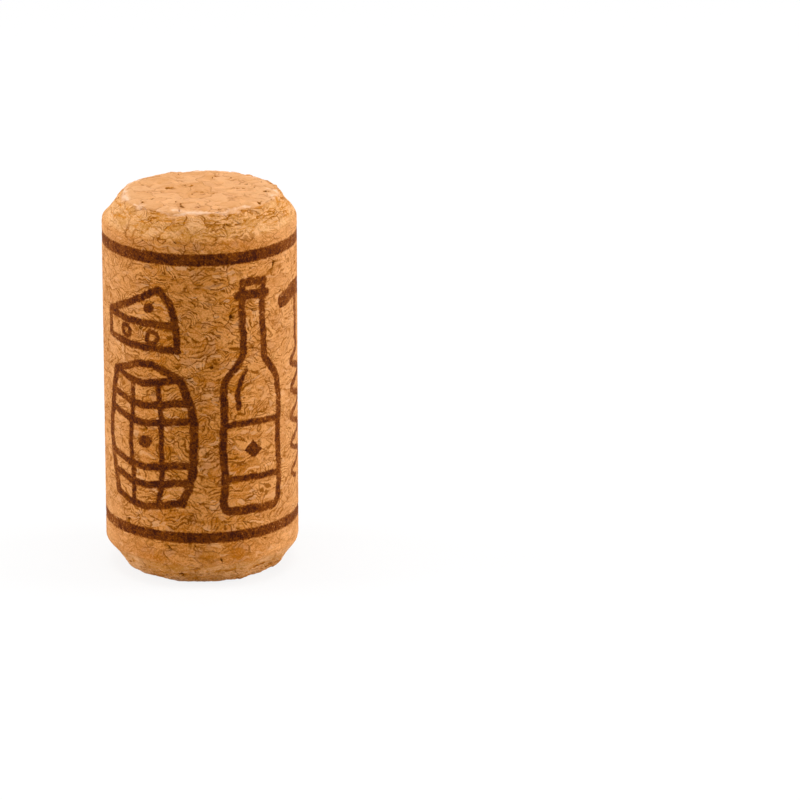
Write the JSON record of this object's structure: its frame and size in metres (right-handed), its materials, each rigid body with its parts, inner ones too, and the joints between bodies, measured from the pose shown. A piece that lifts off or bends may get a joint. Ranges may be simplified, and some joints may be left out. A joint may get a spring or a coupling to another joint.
{
  "type": "wine cork",
  "caption": "Cylindrical agglomerated cork stopper with chamfered ends, pressed into a bottle neck to close it.",
  "frame": {"origin": "centre of the lower end face", "axes": "+Z along the cork's axis, from the lower end face to the upper; X and Y are across it, with the printed cask and bottle facing -Y"},
  "size_m": [0.022, 0.022, 0.044],
  "materials": {
    "agglomerated_cork": "matte, ground side wall with brown print"
  },
  "bodies": {
    "root": {"cork": "agglomerated_cork"}
  },
  "joints": []
}
